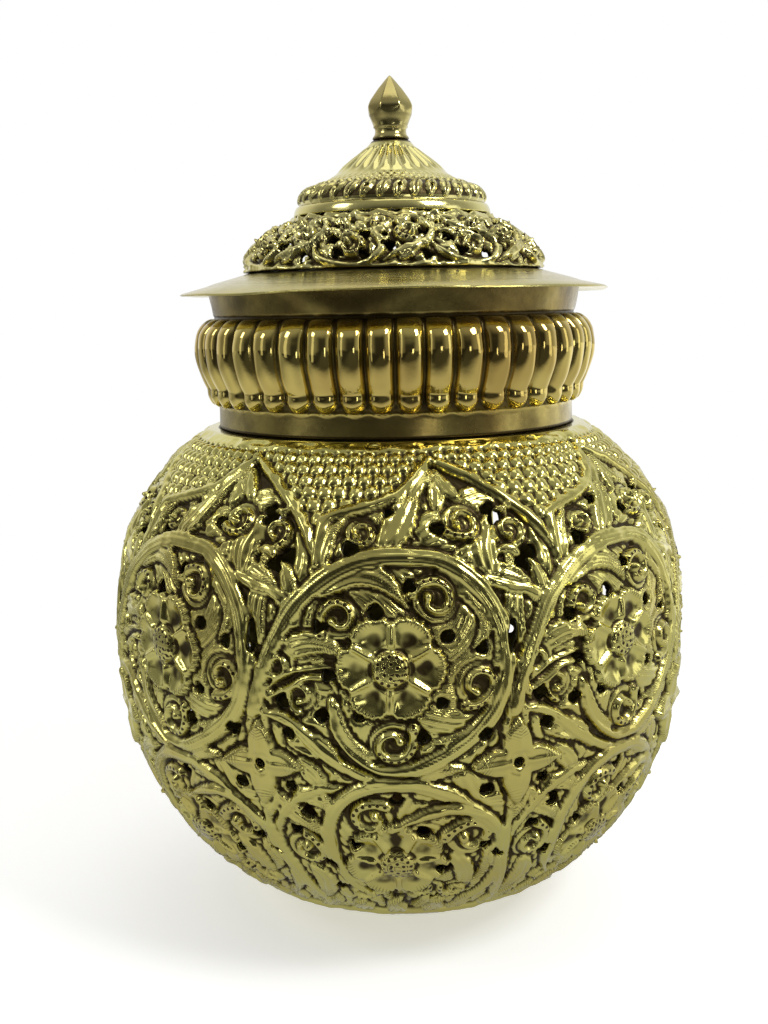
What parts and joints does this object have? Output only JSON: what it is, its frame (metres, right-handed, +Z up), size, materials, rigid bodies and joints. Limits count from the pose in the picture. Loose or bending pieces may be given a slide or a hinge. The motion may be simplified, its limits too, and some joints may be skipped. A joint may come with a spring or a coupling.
{
  "type": "incense burner",
  "caption": "Pierced brass globe incense burner with a fluted neck collar, a lift-off pierced lid with a bud finial, and a loose incense dish inside.",
  "frame": {"origin": "centre of the globe's flat base, on the surface it stands on", "axes": "+Z up along the burner's axis; the front is towards -Y"},
  "size_m": [0.1386, 0.1386, 0.1996],
  "materials": {
    "globe_brass": "chased and polished, dark in the recesses",
    "collar_brass": "polished",
    "lid_brass": "chased and polished",
    "inner_brass": "plain, smoke-darkened"
  },
  "bodies": {
    "globe": {"globe_lower": "globe_brass", "globe_upper": "globe_brass", "mouth_ring": "inner_brass"},
    "collar": {"neck_collar": "collar_brass"},
    "lid": {"lid_brim": "lid_brass", "lid_locating_ring": "inner_brass", "lid_dome": "lid_brass", "lid_crown": "lid_brass", "finial": "lid_brass", "finial_washer": "inner_brass", "finial_nut": "inner_brass"},
    "dish": {"incense_dish": "inner_brass", "dish_foot_ring": "inner_brass"}
  },
  "joints": [
    {"name": "collar_lift", "type": "slide", "parent": "globe", "child": "collar", "axis": [0, 0, 1], "range_m": [0, 0.04]},
    {"name": "lid_lift", "type": "slide", "parent": "collar", "child": "lid", "axis": [0, 0, 1], "range_m": [0, 0.05]},
    {"name": "dish_lift", "type": "slide", "parent": "globe", "child": "dish", "axis": [0, 0, 1], "range_m": [0, 0.13]}
  ]
}
